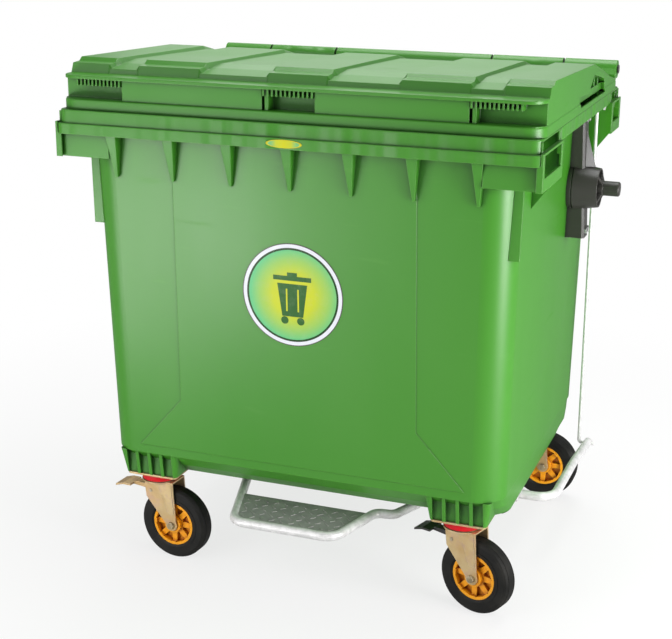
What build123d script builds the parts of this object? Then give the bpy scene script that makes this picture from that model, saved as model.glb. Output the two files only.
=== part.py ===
from build123d import *
import math
import os

# Wheeled waste container, 1100 litre class, millimetres, +Z up.
# The origin lies on the ground under the middle of the rim. The front faces -Y, the lid hinge is at +Y.

# Driving dimensions of the tub and its rim
rim_width = 1240
rim_depth = 1055
rim_top = 1243.5
rim_corner = 24
rim_wall = 5
rim_band = 33
rim_lower_band = 27
rim_setback = 7
rim_round = 3
tub_side_reach = 66
tub_front_reach = 37.5
side_draft = 14
front_draft = 43
rear_draft = 5
tub_wall = 5.5
tub_crease_z = 320
tub_bottom_z = 215
tub_corner = 75
tub_lip = 3
panel_relief = 2

# Driving dimensions of the castors
wheel_radius = 100
tyre_width = 50
rim_radius = 61
castor_height = 250
castor_inset_x = 110
castor_inset_front = 71
castor_inset_rear = 80
castor_trail = 50
castor_yaw = {"front_left": -5, "front_right": -17, "rear_left": 0, "rear_right": 0}

# Driving dimensions of the lid and its hinge
lid_seat = 0.5
lid_brim_inset = 6
lid_side_inset = 8
lid_front_inset = 19.5
lid_brim_height = 25.5
lid_brim_round = 6
lid_corner = 45
lid_wall = 4.5
lid_height = 108
hinge_inset = 25
hinge_rise = 49.5
knuckle_radius = 25
hinge_gap = 3
hinge_pin_radius = 8
hinge_overhang = 4
hinge_mark_shares = (0.4, 0.75, 1)

# Driving dimensions of the trunnions, the pedal lever and the push rod
trunnion_overhang = 65
trunnion_y = 190
trunnion_drop = 235.5
trunnion_pin_radius = 20
pedal_tube_radius = 12.5
pedal_drop = 25
pedal_pivot_y = -56
rod_radius = 5
rod_inset = 36
rod_foot_run = 114.5
rod_head_run = 157.5
rod_head_drop = 75

# Fits
running_fit = 0.06
clearance = 0.4
overrun = 10

# Sizes that follow from the ones above
tub_top_width = rim_width - 2 * tub_side_reach
tub_top_depth = rim_depth - 2 * tub_front_reach
tub_crease_width = tub_top_width - 2 * side_draft
tub_crease_depth = tub_top_depth - front_draft - rear_draft
tub_crease_shift = (front_draft - rear_draft) / 2
crease_front_y = tub_crease_shift - tub_crease_depth / 2
crease_rear_y = tub_crease_shift + tub_crease_depth / 2
castor_x = tub_crease_width / 2 - castor_inset_x
castor_front_y = crease_front_y + castor_inset_front
castor_rear_y = crease_rear_y - castor_inset_rear
lid_brim_width = rim_width - 2 * lid_brim_inset
lid_width = rim_width - 2 * lid_side_inset
lid_front = rim_depth / 2 - lid_front_inset
hinge_y = rim_depth / 2 - hinge_inset
hinge_z = rim_top + hinge_rise
hinge_end = rim_width / 2 - 2 * lid_side_inset + hinge_overhang
trunnion_z = rim_top - trunnion_drop
pedal_z = tub_bottom_z - pedal_drop
rod_x = rim_width / 2 - rod_inset
rod_foot_y = hinge_y - rod_foot_run
rod_head_y = hinge_y - rod_head_run
rod_head_z = hinge_z - rod_head_drop


def rounded_block(width, depth, corner, low, high, shift=0):
    """An upright block with rounded vertical corners, from one height to another."""
    face = Pos(0, shift, low) * RectangleRounded(width, depth, corner)
    return extrude(face, high - low)


def tapered(sections, inset=0):
    """A ruled loft through level rounded rectangles: (width, depth, shift, corner, height)."""
    faces = []
    for width, depth, shift, corner, height in sections:
        outline = RectangleRounded(width - 2 * inset, depth - 2 * inset, corner - inset)
        faces.append(Pos(0, shift, height) * outline)
    return loft(faces, ruled=True)


def outline_face(points):
    """A flat face inside a closed outline."""
    return make_face(Polyline(*points, close=True))


def prism_x(points, low, high):
    """A side profile of (y, z) points, extruded across the object from x = low to x = high."""
    return extrude(Plane.YZ.offset(low) * outline_face(points), high - low)


def prism_y(points, low, high):
    """A front profile of (x, z) points, extruded from y = low to y = high."""
    return extrude(Plane.XZ.offset(-high) * outline_face(points), high - low)


def block(low, high):
    """A box between two corners."""
    size = [b - a for a, b in zip(low, high)]
    centre = [(a + b) / 2 for a, b in zip(low, high)]
    return Pos(*centre) * Box(*size)


def rod_between(start, end, radius):
    """A round bar from one point to another."""
    axis = Vector(*end) - Vector(*start)
    return extrude(Plane(origin=start, z_dir=axis) * Circle(radius), axis.length)


def both_sides(part):
    """A piece and its mirror image across the middle of the object."""
    return [part, mirror(part, Plane.YZ)]


def write(name, solids):
    """One STEP file for a node of one or more separate solids."""
    solids = solids if isinstance(solids, list) else [solids]
    pieces = [piece for solid in solids for piece in solid.solids()]
    shape = pieces[0] if len(pieces) == 1 else Compound(children=pieces)
    export_step(shape, os.path.join("parts", name + ".step"))


# The trough: one thick-walled moulding whose walls taper down to a crease, with a panel raised on the front
skirt_drop = tub_crease_z - tub_bottom_z
skirt_shares = (
    (0, 0, 0, 0), (0.33, 0.2, 0.07, 0.03), (0.65, 0.47, 0.2, 0.1), (0.88, 0.78, 0.5, 0.4), (1, 1, 1, 1),
)
skirt_front_run = 165
skirt_side_run = 28
skirt_rear_run = 30
panel_top_half = 316
panel_low_half = 322
panel_foot_half = 448
panel_knee_rise = 168
panel_foot_rise = 25


def skirt_sections():
    """Level outlines of the skirt, from the crease down to the belly."""
    front = crease_front_y + tub_lip
    rear = crease_rear_y - tub_lip
    side = tub_crease_width / 2 - tub_lip
    for drop, front_share, side_share, rear_share in skirt_shares:
        low_y = front + front_share * skirt_front_run
        high_y = rear - rear_share * skirt_rear_run
        width = 2 * (side - side_share * skirt_side_run)
        yield width, high_y - low_y, (high_y + low_y) / 2, tub_corner, tub_crease_z - drop * skirt_drop


def wall_sections(low, high):
    """Level outlines of the walls; above the rim and below the crease they run straight on."""
    crease = (tub_crease_width, tub_crease_depth, tub_crease_shift, tub_corner)
    top = (tub_top_width, tub_top_depth, 0, tub_corner)
    return (*crease, low), (*top, high)


def skirt(inset, floor):
    """The skirt and belly; the inner one stops at the floor."""
    shape = tapered(list(skirt_sections())[::-1], inset)
    return shape - block((-rim_width, -rim_depth, 0), (rim_width, rim_depth, floor)) if floor else shape


panel_knee_z = tub_crease_z + panel_knee_rise
panel_foot_z = tub_crease_z + panel_foot_rise
panel_outline = [
    (-panel_top_half, rim_top), (-panel_low_half, panel_knee_z), (-panel_foot_half, panel_foot_z),
    (panel_foot_half, panel_foot_z), (panel_low_half, panel_knee_z), (panel_top_half, rim_top),
]
outer_wall = tapered(wall_sections(tub_crease_z, rim_top))
panel = (Pos(0, -panel_relief, 0) * outer_wall) & prism_y(panel_outline, -rim_depth, 0)
trough = outer_wall + panel
tub = trough - tapered(wall_sections(tub_crease_z, rim_top), tub_wall)

# Pods under the corners carry the castor plates on ribbed blocks, inside round recesses of the belly
pod_width = 150
pod_depth = 112
pod_flare = 26
pod_height = 80
pod_corner = 12
pod_groove = 7
pod_rib_width = 9
pod_ribs = 5
swivel_room = 125
castor_places = {
    "front_left": (-castor_x, castor_front_y), "front_right": (castor_x, castor_front_y),
    "rear_left": (-castor_x, castor_rear_y), "rear_right": (castor_x, castor_rear_y),
}


def pod():
    """A ribbed block that widens from the castor plate up into the skirt."""
    foot = (pod_width, pod_depth, 0, pod_corner, castor_height)
    head = (pod_width + pod_flare, pod_depth + pod_flare, 0, pod_corner, castor_height + pod_height)
    shape = tapered([foot, head])
    pitch = (pod_width - pod_rib_width) / (pod_ribs - 1)
    for side in (-1, 1):
        for n in range(pod_ribs - 1):
            x = -(pod_width - pod_rib_width) / 2 + (n + 0.5) * pitch
            middle = (x, side * (pod_depth + pod_flare) / 2, castor_height + pod_height / 2)
            groove = Box(pitch - pod_rib_width, pod_flare + 2 * pod_groove, pod_height + overrun)
            shape -= Pos(*middle) * groove
    return shape


belly = skirt(0, 0)
for x, y in castor_places.values():
    recess = Pos(x, y, castor_height / 2) * Cylinder(swivel_room, castor_height)
    belly = belly - recess
    belly += Pos(x, y, 0) * pod() & block((-rim_width, -rim_depth, 0), (rim_width, rim_depth, tub_crease_z))
belly_room = skirt(tub_wall, tub_bottom_z + tub_wall)
for x, y in castor_places.values():
    floor_height = castor_height + tub_wall
    belly_room -= Pos(x, y, floor_height / 2) * Cylinder(swivel_room + tub_wall, floor_height)
tub_base = belly - belly_room

# Blind holes in the pods take the bolts of the castor plates
bolt_radius = 5
bolt_depth = 22
plate_hole_x = 105
plate_hole_y = 75
king_room = 19
bolt_shares = ((-0.5, -0.5), (-0.5, 0.5), (0.5, -0.5), (0.5, 0.5))
bolt_spots = [(x_share * plate_hole_x, y_share * plate_hole_y) for x_share, y_share in bolt_shares]
standing = (Align.CENTER, Align.CENTER, Align.MIN)
hanging = (Align.CENTER, Align.CENTER, Align.MAX)
for x, y in castor_places.values():
    for spot_x, spot_y in bolt_spots:
        hole = Cylinder(bolt_radius + running_fit, bolt_depth + overrun, align=standing)
        tub_base -= Pos(x + spot_x, y + spot_y, castor_height - overrun) * hole
    tub_base -= Pos(x, y, castor_height) * Cylinder(king_room, overrun)

# The rim: a hollow flange of two stepped bands, open underneath
band_low = rim_top - rim_band - rim_lower_band
band_step = rim_top - rim_band
lower_band = rounded_block(rim_width, rim_depth, rim_corner, band_low, band_step)
lower_band = fillet(lower_band.edges().group_by(Axis.Z)[-1], rim_round)
upper_width = rim_width - 2 * rim_setback
upper_depth = rim_depth - 2 * rim_setback
upper_band = rounded_block(upper_width, upper_depth, rim_corner, band_step - rim_round, rim_top)
upper_band = fillet(upper_band.edges().group_by(Axis.Z)[-1], rim_round)
rim = lower_band + upper_band
inner_width = upper_width - 2 * rim_wall
inner_depth = upper_depth - 2 * rim_wall
rim -= rounded_block(inner_width, inner_depth, rim_corner - rim_wall, 0, rim_top - rim_wall)

# Handle frames hang from the rim at the four corners, each with two finger windows. The rim's bars and
# posts round the windows are kept with the frames.
frame_drop = 118.5
frame_wall = 6
frame_post = 17
frame_sill = 30
frame_bar = 2.5
frame_inset = 5.5
frame_flange = 15
front_frame_length = 219
rear_frame_length = 136
cheek_wall = 5
cheek_drop = 203.5
fin_drop = 298.5
fin_stand = 12
fin_run = 34
frame_foot_z = rim_top - frame_drop
cheek_foot_z = rim_top - cheek_drop
fin_foot_z = rim_top - fin_drop
frame_spans = ((-rim_depth / 2 + frame_inset, -rim_depth / 2 + frame_inset + front_frame_length),
               (rim_depth / 2 - frame_inset - rear_frame_length, rim_depth / 2 - frame_inset))
outer_x = rim_width / 2
band_inner_x = outer_x - rim_setback - rim_wall
wall_x = tub_top_width / 2
frame_parts = []
handle_windows = []
rim_bars = []
for near, far in frame_spans:
    plate = block((outer_x - frame_wall, near, frame_foot_z), (outer_x, far, band_step + frame_bar))
    front = near < 0
    post_y = near if front else far - cheek_wall
    post_low = (outer_x - frame_flange, post_y, frame_foot_z)
    plate += block(post_low, (outer_x, post_y + cheek_wall, band_low + rim_round))
    frame_parts += both_sides(plate)
    outer_y = near + frame_post - cheek_wall if front else far - frame_post
    inner_y = far - cheek_wall if front else near
    for y in (outer_y, inner_y):
        foot_z = frame_foot_z if y == outer_y else cheek_foot_z
        cheek_outline = [
            (wall_x - tub_corner, rim_top - rim_wall), (outer_x - frame_wall, rim_top - rim_wall),
            (outer_x - frame_wall, frame_foot_z), (wall_x - cheek_wall, foot_z),
            (wall_x - tub_corner, foot_z),
        ]
        frame_parts += both_sides(prism_y(cheek_outline, y, y + cheek_wall))
    window_low = (band_inner_x - overrun, near + frame_post, frame_foot_z + frame_sill)
    window_high = (outer_x + overrun, far - frame_post, band_step - frame_bar)
    bar_low = (band_inner_x, window_low[1], 0)
    bar_high = (outer_x + overrun, window_high[1], rim_top - rim_wall)
    post_near, post_far = (window_high[1], far) if front else (near, window_low[1])
    post_zone = block((band_inner_x, post_near, 0), (outer_x + overrun, post_far, rim_top - rim_wall))
    rim_bars += both_sides(block(bar_low, bar_high)) + both_sides(post_zone)
    upper_low = (window_low[0], window_low[1], band_step + frame_bar)
    upper_high = (window_high[0], window_high[1], rim_top - rim_wall)
    handle_windows += both_sides(block(window_low, window_high)) + both_sides(block(upper_low, upper_high))
fin_y = -tub_top_depth / 2 + tub_corner - fin_run
fin_outline = [
    (wall_x - tub_corner, rim_top - rim_wall), (wall_x + fin_stand, rim_top - rim_wall),
    (wall_x + fin_stand / 2, fin_foot_z), (wall_x - tub_corner, fin_foot_z),
]
fins = both_sides(prism_y(fin_outline, fin_y, fin_y + cheek_wall))

# Between the frames the sides show only the upper band
side_gap = (frame_spans[0][1], frame_spans[1][0])
side_cut_low = (band_inner_x - overrun, side_gap[0], 0)
side_cuts = both_sides(block(side_cut_low, (rim_width, side_gap[1], band_step)))

# Seven tapering gussets brace the rim along the front and the back
gusset_pitch = 156
gusset_head = 30
gusset_tip = 7
gusset_length = 120
gusset_tip_depth = 8
gusset_count = 7
gussets = []
gusset_root = tub_top_depth / 2 - 2 * tub_wall
gusset_reach = rim_depth / 2 - rim_wall - gusset_root
for n in range(gusset_count):
    x = (n - (gusset_count - 1) / 2) * gusset_pitch
    head_face = Rectangle(gusset_head, gusset_reach, align=(Align.CENTER, Align.MIN))
    tip_face = Rectangle(gusset_tip, gusset_tip_depth + tub_wall, align=(Align.CENTER, Align.MIN))
    head_z = band_low + rim_lower_band / 2
    gusset = loft([Pos(0, 0, head_z) * head_face, Pos(0, 0, head_z - gusset_length) * tip_face], ruled=True)
    gusset = Pos(x, gusset_root, 0) * gusset
    gussets += [gusset, mirror(gusset, Plane.XZ)]

# Hinge lugs of the rim stand behind the lid between its knuckles
lug_leg = 30
hinge_bore = hinge_pin_radius + running_fit
hinge_marks = [share * hinge_end for share in hinge_mark_shares]


def knuckle(low, high, leg_points):
    """A hinge barrel along X with the web that joins it to its carrier."""
    barrel = extrude(Plane.YZ.offset(low) * Pos(hinge_y, hinge_z) * Circle(knuckle_radius), high - low)
    return barrel + prism_x(leg_points, low, high)


rear_face = hinge_y + knuckle_radius
leg_outline = [(rear_face - lug_leg, hinge_z), (rear_face, hinge_z), (rear_face, rim_top - rim_wall),
               (rear_face - lug_leg, rim_top - rim_wall)]
lug_right = knuckle(hinge_marks[0] + hinge_gap, hinge_marks[1] - hinge_gap, leg_outline)

# The push rod and the lid's lug pass through a slot in the rim on the right
rod_room = 13
rod_front_sweep = 32
rod_back_sweep = 40
rod_slot_low = (rod_x - rod_room, rod_head_y - rod_front_sweep, rim_top - rim_band)
rod_slot_high = (inner_width / 2 + clearance, rod_head_y + rod_back_sweep, rim_top + overrun)
hinge_circle = Plane.YZ.offset(-rim_width) * Pos(hinge_y, hinge_z) * Circle(hinge_bore)
hinge_line = extrude(hinge_circle, 2 * rim_width)
tub_rim = rim - side_cuts
tub_rim -= handle_windows
tub_rim -= rim_bars
tub_rim += both_sides(lug_right)
tub_rim -= block(rod_slot_low, rod_slot_high)
tub_rim -= hinge_line
tub_rim -= trough
frames = Part() + frame_parts
frames -= handle_windows
frames -= rim
frames -= trough
frames -= gussets
rim_bar_parts = [(rim & zone) - handle_windows for zone in rim_bars]
tub_handles = list(frames.solids()) + rim_bar_parts
tub_gussets = [(piece - rim) - trough for piece in gussets + fins]

# Drain outlet in the belly with its screwed plug
drain_y = 300
drain_radius = 30
drain_flange = 38
drain_flange_height = 8
grip_share = 1.6
drain_place = Pos(0, drain_y, tub_bottom_z)
tub_base -= drain_place * Cylinder(drain_radius + clearance / 2, 4 * tub_wall)
plug_neck = Cylinder(drain_radius, 2 * tub_wall, align=standing)
plug_grip = Box(grip_share * drain_radius, drain_flange_height, 2 * drain_flange_height, align=hanging)
plug_flange = Cylinder(drain_flange, drain_flange_height, align=hanging)
drain_plug = drain_place * (plug_flange + plug_neck + plug_grip)

# The lid: a shallow hollow cover with a rounded brim, a lip over combed grips and a sloping back
lid_low = rim_top + lid_seat
lid_brim_top = lid_low + lid_brim_height
lid_back = hinge_y - knuckle_radius - 2 * hinge_gap
lid_depth = lid_back + lid_front
lid_middle = (lid_back - lid_front) / 2
lid_face_inset = 8
lid_lip_wall = 8
lid_lip_depth = 64
lid_profile_shares = (
    (0, 0.75), (0.064, 0.75), (0.070, 0.885), (0.13, 0.965), (0.20, 1.0),
    (0.63, 0.87), (0.76, 0.69), (0.88, 0.42), (1.0, 0.22),
)
grip_mark_shares = (0.11, 0.72)
grip_depth = 42
grip_top_share = 0.70
comb_teeth = 12
comb_tooth = 4.5
comb_drop = 16
post_width = 9
post_offset = 12
ridge_height = 9
ridge_bevel = 4
ridge_root = 12
ridge_mark_shares = ((0, 0.245), (0.56, 0.27), (-0.56, 0.27), (0.92, 0.18), (-0.92, 0.18))
ridge_shares = (
    (0.062, 0.75, 0.02), (0.074, 0.90, 1), (0.105, 0.915, 1), (0.118, 1.0, 1), (0.63, 0.87, 1),
    (0.76, 0.69, 0.02),
)


def lid_plan(inset, width, low, high):
    """A level slice of the lid's plan, with wide corners in front and tighter ones behind."""
    front_shift = lid_middle + lid_corner / 2 + inset
    front = rounded_block(width, lid_depth + lid_corner, lid_corner - inset, low, high, front_shift)
    return front & rounded_block(width, lid_depth - 2 * inset, rim_corner - inset, low, high, lid_middle)


def lid_side(inset, half):
    """The lid's side profile, drawn in by the wall, and extruded across."""
    low = lid_low - overrun if inset else lid_low
    front = -lid_front + lid_face_inset + inset
    points = [(front, low)]
    for y_share, z_share in lid_profile_shares:
        y = min(max(-lid_front + y_share * lid_depth, front), lid_back - inset)
        points.append((y, lid_low + z_share * lid_height - inset))
    points.append((lid_back - inset, low))
    return prism_x(points, -half, half)


def ridge_section(middle, width, y_share, z_share, rise_share):
    """One upright trapezoid across a ridge, rooted in the lid's top."""
    root_z = lid_low + z_share * lid_height - ridge_root
    top_z = lid_low + z_share * lid_height + rise_share * ridge_height
    half = width / 2
    spread = half + ridge_bevel * rise_share + ridge_root
    points = [
        (middle - spread, root_z), (middle + spread, root_z),
        (middle + half, top_z), (middle - half, top_z),
    ]
    return Pos(0, -lid_front + y_share * lid_depth, 0) * (Plane.XZ * outline_face(points))


lid = lid_side(0, lid_width / 2)
for middle_share, width_share in ridge_mark_shares:
    middle = middle_share * lid_width / 2
    width = width_share * lid_width / 2
    lid += loft([ridge_section(middle, width, *shares) for shares in ridge_shares], ruled=True)
grip_top = lid_low + grip_top_share * lid_height
lip_top = grip_top + lid_lip_wall
lip = lid_plan(0, lid_width, grip_top, lip_top)
lip = fillet(lip.edges().group_by(Axis.Z)[-1], lid_lip_wall / 4)
lip_end = -lid_front + lid_lip_depth
lid = lid & lid_plan(0, lid_width, lid_low, lid_low + 2 * lid_height)
lid += lip & block((-lid_width, -rim_depth, lid_low), (lid_width, lip_end, lip_top))
brim = lid_plan(0, lid_brim_width, lid_low, lid_brim_top)
lid += fillet(brim.edges().group_by(Axis.Z)[-1], lid_brim_round)

# Each side of the lid has a recessed pocket with a deeper, ribbed rear part
pocket_setback = 67
pocket_length = 374
pocket_shares = ((1.0, 0.389), (0.919, 0.11), (0, 0.11), (0.055, 0.47), (0.448, 0.70), (0.631, 0.333))
pocket_deep_shares = ((0.605, 0.36), (0.016, 0.36), (0.068, 0.47), (0.448, 0.69))
pocket_rib_shares = (0.448, 0.304, 0.16)
pocket_depth = 9
pocket_deep = 22
pocket_rib = 9


def on_lid_side(shares):
    """Points of the pocket from shares of its length, counted from the rear, and of the lid's height."""
    rear = rod_head_y - pocket_setback
    return [(rear - y_share * pocket_length, lid_low + z_share * lid_height) for y_share, z_share in shares]


pocket_points = on_lid_side(pocket_shares)
pocket_low_y = min(y for y, z in pocket_points) - lid_wall
pocket_high_y = max(y for y, z in pocket_points) + lid_wall
pocket_inner = lid_width / 2 - pocket_deep - lid_wall
pocket_back_high = (lid_width / 2, pocket_high_y, lid_low + lid_height)
pocket_back = block((pocket_inner, pocket_low_y, lid_low + lid_wall), pocket_back_high)
lid_hollow = lid_side(lid_wall, lid_width / 2 - lid_wall)
grip_marks = [share * lid_width / 2 for share in grip_mark_shares]
grip_zones = ((-grip_marks[0], grip_marks[0]), (grip_marks[1], lid_width / 2 + overrun),
              (-lid_width / 2 - overrun, -grip_marks[1]))
for low, high in grip_zones:
    wall_low = (low - lid_wall, -lid_front, lid_low - overrun)
    lid_hollow -= block(wall_low, (high + lid_wall, -lid_front + grip_depth + lid_wall, lip_top))
for piece in both_sides(pocket_back):
    lid_hollow -= piece
lid -= lid_hollow
pocket = prism_x(pocket_points, lid_width / 2 - pocket_depth, lid_width / 2 + overrun)
pocket += prism_x(on_lid_side(pocket_deep_shares), lid_width / 2 - pocket_deep, lid_width / 2)
for share in pocket_rib_shares:
    y = rod_head_y - pocket_setback - share * pocket_length
    rib_high = (lid_width / 2 - pocket_depth, y + pocket_rib / 2, lid_low + lid_height)
    pocket -= block((pocket_inner, y - pocket_rib / 2, lid_low), rib_high)
for piece in both_sides(pocket):
    lid -= piece

# Under the lip each grip is a recess with a comb of short teeth; two of them have an upright post too
for low, high in grip_zones:
    lid -= block((low, -lid_front - overrun, lid_brim_top), (high, -lid_front + grip_depth, grip_top))
    inner_low = max(low, -lid_width / 2 + lid_corner)
    inner_high = min(high, lid_width / 2 - lid_corner)
    pitch = (inner_high - inner_low) / comb_teeth
    for n in range(comb_teeth):
        x = inner_low + (n + 0.5) * pitch
        tooth_low = (x - comb_tooth / 2, -lid_front + rim_round, grip_top - comb_drop)
        lid += block(tooth_low, (x + comb_tooth / 2, -lid_front + grip_depth, grip_top))
    if low == inner_low:
        x = low + post_offset
        post_low = (x - post_width / 2, -lid_front + lid_face_inset, lid_brim_top)
        lid += block(post_low, (x + post_width / 2, -lid_front + grip_depth, grip_top))
lid -= lid_plan(lid_wall, lid_brim_width - 2 * lid_wall, lid_low - overrun, lid_brim_top - lid_brim_round)

# The lid's knuckles: a long one in the middle and one at each end, on webs that slope up from its back
web_top_share = 0.34
web_reach_share = 0.86
web_outline = [
    (lid_back - lid_wall, lid_low + web_top_share * lid_height),
    (hinge_y - knuckle_radius / 2, hinge_z + web_reach_share * knuckle_radius), (hinge_y, hinge_z),
    (hinge_y - knuckle_radius / 2, hinge_z - web_reach_share * knuckle_radius),
    (lid_back - lid_wall, lid_low + overrun),
]
lid += knuckle(-hinge_marks[0] + hinge_gap, hinge_marks[0] - hinge_gap, web_outline)
lid += both_sides(knuckle(hinge_marks[1] + hinge_gap, hinge_marks[2], web_outline))
lid -= hinge_line

# Trunnions: black arms bolted to the sides, with a cone, four webs and a round pin for the lifting gear
arm_width = 56
arm_drop = 138
arm_depth = 46
arm_chamfer = 6
arm_head_depth = 16
arm_lean = 16
flange_radius = 63
flange_wall = 22
cone_radius = 64
disc_radius = 53
disc_wall = 6
disc_stand = 77
pin_bevel = 3
collar = 1.5
gusset_wall = 8
gusset_run = 10
gusset_share = 0.92
apex_rise = 157
side_x = tub_top_width / 2 - side_draft
trunnion_end = rim_width / 2 + trunnion_overhang
disc_x = tub_top_width / 2 + disc_stand


def turned_x(points):
    """A profile of (x, radius) points turned about the trunnion's axis."""
    return Pos(0, trunnion_y, trunnion_z) * revolve(Plane.XY * outline_face(points), Axis.X)


cone_x = side_x + flange_wall
root_x = disc_x + gusset_run
trunnion_profile = [
    (side_x - tub_wall, 0), (side_x - tub_wall, flange_radius), (cone_x, flange_radius),
    (cone_x, flange_radius - disc_wall / 2), (cone_x + disc_wall / 2, flange_radius - disc_wall / 2),
    (cone_x + disc_wall / 2, cone_radius), (disc_x, disc_radius), (disc_x, disc_radius - disc_wall / 2),
    (disc_x - disc_wall, disc_radius - disc_wall), (disc_x - disc_wall, trunnion_pin_radius + collar),
    (root_x, trunnion_pin_radius + collar), (root_x, trunnion_pin_radius),
    (trunnion_end - pin_bevel, trunnion_pin_radius), (trunnion_end, trunnion_pin_radius - pin_bevel),
    (trunnion_end, 0),
]
arm_out = side_x + arm_depth + side_draft
arm_half = arm_width / 2
arm_foot_z = trunnion_z - arm_drop
arm_top_z = rim_top - rim_wall - clearance
arm_slope = arm_lean / (arm_top_z - arm_foot_z)


def arm_outer(height):
    """The arm's outer face leans in towards the rim."""
    return arm_out - arm_slope * (height - arm_foot_z)


def arm_face(depth, height):
    """A level section of the arm with chamfered outer corners."""
    points = [(-depth, -arm_half), (-arm_chamfer, -arm_half), (0, -arm_half + arm_chamfer),
              (0, arm_half - arm_chamfer), (-arm_chamfer, arm_half), (-depth, arm_half)]
    return Pos(arm_outer(height), trunnion_y, height) * outline_face(points)


arm_root_depth = arm_depth + 2 * side_draft
trunnion = turned_x(trunnion_profile)
arm_knee = arm_face(arm_root_depth, trunnion_z + flange_radius / 2)
trunnion += loft([arm_face(arm_root_depth, arm_foot_z), arm_knee], ruled=True)
trunnion += loft([arm_knee, arm_face(arm_head_depth, arm_top_z)], ruled=True)
web_outline_x = [
    (disc_x - disc_wall, 0), (root_x, 0), (root_x, trunnion_pin_radius),
    (disc_x, gusset_share * disc_radius), (disc_x - disc_wall, gusset_share * disc_radius),
]
web = extrude(Plane.XZ * outline_face(web_outline_x), gusset_wall / 2, both=True)
web_turns = 4
for turn in range(web_turns):
    trunnion += Pos(0, trunnion_y, trunnion_z) * Rot((turn + 0.5) * 360 / web_turns, 0, 0) * web
rib_root_x = arm_outer(trunnion_z + apex_rise) - arm_chamfer
wedge_plan = [(rib_root_x, -arm_half), (disc_x - disc_wall, 0), (rib_root_x, arm_half)]
wedge_tip_x = rib_root_x + arm_chamfer + clearance
wedge_tip = [(rib_root_x, -cheek_wall / 2), (wedge_tip_x, 0), (rib_root_x, cheek_wall / 2)]
wedge_low = Pos(0, trunnion_y, trunnion_z + disc_radius / 2) * outline_face(wedge_plan)
wedge_high = Pos(0, trunnion_y, trunnion_z + apex_rise) * outline_face(wedge_tip)
trunnion += loft([wedge_low, wedge_high], ruled=True)
trunnion -= trough
trunnion_left, trunnion_right = mirror(trunnion, Plane.YZ), trunnion

# Hexagon screws hold each trunnion arm, two below the flange and two above
screw_head_radius = 9
screw_head_height = 6
screw_side_share = 0.24
screw_drop = 118
screw_rise = 186
trunnion_screws = []
for spot_z in (trunnion_z - screw_drop, trunnion_z + screw_rise):
    for side in (-1, 1):
        spot_y = trunnion_y + side * screw_side_share * arm_width
        place = Plane(origin=(arm_outer(spot_z), spot_y, spot_z), z_dir=(1, 0, arm_slope))
        head = extrude(place * RegularPolygon(screw_head_radius, 6), screw_head_height)
        trunnion_screws += both_sides(head)

# Castor: a zinc-plated steel top plate and fork with a moulded wheel on a roller bush
plate_wall = 5
plate_width = 146
plate_depth = 110
race_radius = 45
race_height = 20
seal_radius = 49
seal_height = 15
crown_radius = 50
crown_wall = 4
king_radius = 6
king_nut_radius = 11
king_nut_height = 7
leg_wall = 4
leg_gap = 1.5
leg_top_front = -33
leg_top_rear = 56
leg_elbow_x = -27
leg_elbow_drop = 51
leg_fold_x = 12
leg_emboss = 1.5
leg_boss = 17
leg_boss_share = 0.9
axle_radius = 6
axle_head_radius = 10
axle_head_height = 7
bush_radius = 12
hub_boss_radius = 24
hub_width = 54
felloe_wall = 8
felloe_inset = 3
web_half = 4
wedge_depth = 20
wedge_root = 3
wedge_share = 0.27
spoke_count = 8
tyre_groove = 1.5
tyre_groove_width = 2
tyre_shoulder = 10
tyre_shoulder_drop = 4
tyre_bead = 6
bolt_head = 8.5
bolt_head_height = 5

plate_low = castor_height - plate_wall
race_low = plate_low - race_height
crown_top = race_low - clearance
crown_low = crown_top - crown_wall
nut_low = crown_low - clearance - king_nut_height
leg_inner = hub_width / 2 + leg_gap
fork_half = leg_inner + leg_wall


def upright(radius, low, high):
    """A round disc or post about the swivel axis."""
    return Pos(0, 0, (low + high) / 2) * Cylinder(radius, high - low)


def turned_y(points):
    """A profile of (radius, y) points turned about the wheel's axle."""
    return Pos(castor_trail, 0, wheel_radius) * revolve(Plane.XY * outline_face(points), Axis.Y)


def ring_y(outer, inner, half):
    """A plain ring about the axle."""
    return turned_y([(inner, -half), (outer, -half), (outer, half), (inner, half)])


def bar_y(x, z, radius, length):
    """A round bar across the castor."""
    return Pos(x, 0, z) * Rot(90, 0, 0) * Cylinder(radius, length)


def castor_plate():
    """The top plate with its four holes and the pressed raceway below it."""
    plate = rounded_block(plate_width, plate_depth, pod_corner, plate_low, castor_height)
    plate += upright(race_radius, race_low, plate_low)
    plate -= upright(king_radius + running_fit, race_low - overrun, castor_height + overrun)
    for x, y in bolt_spots:
        plate -= Pos(x, y, plate_low) * Cylinder(bolt_radius + running_fit, 4 * plate_wall)
    return plate


def castor_seal():
    """The red ring that covers the ball race."""
    ring_low = race_low + (race_height - seal_height) / 2
    ring = upright(seal_radius, ring_low, ring_low + seal_height)
    return ring - upright(race_radius + running_fit, race_low, plate_low)


def plate_bolts():
    """Four hexagon bolts from below into the pod."""
    bolts = []
    for x, y in bolt_spots:
        head = Pos(x, y, plate_low - bolt_head_height) * RegularPolygon(bolt_head, 6)
        shank = Pos(x, y, plate_low) * Circle(bolt_radius)
        bolts.append(extrude(head, bolt_head_height) + extrude(shank, plate_wall + bolt_depth - clearance))
    return bolts


def king_bolt():
    """The bolt that the fork turns on, with its nut under the crown."""
    nut = extrude(Pos(0, 0, nut_low) * RegularPolygon(king_nut_radius, 6), king_nut_height)
    return nut + upright(king_radius, nut_low, castor_height)


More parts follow.
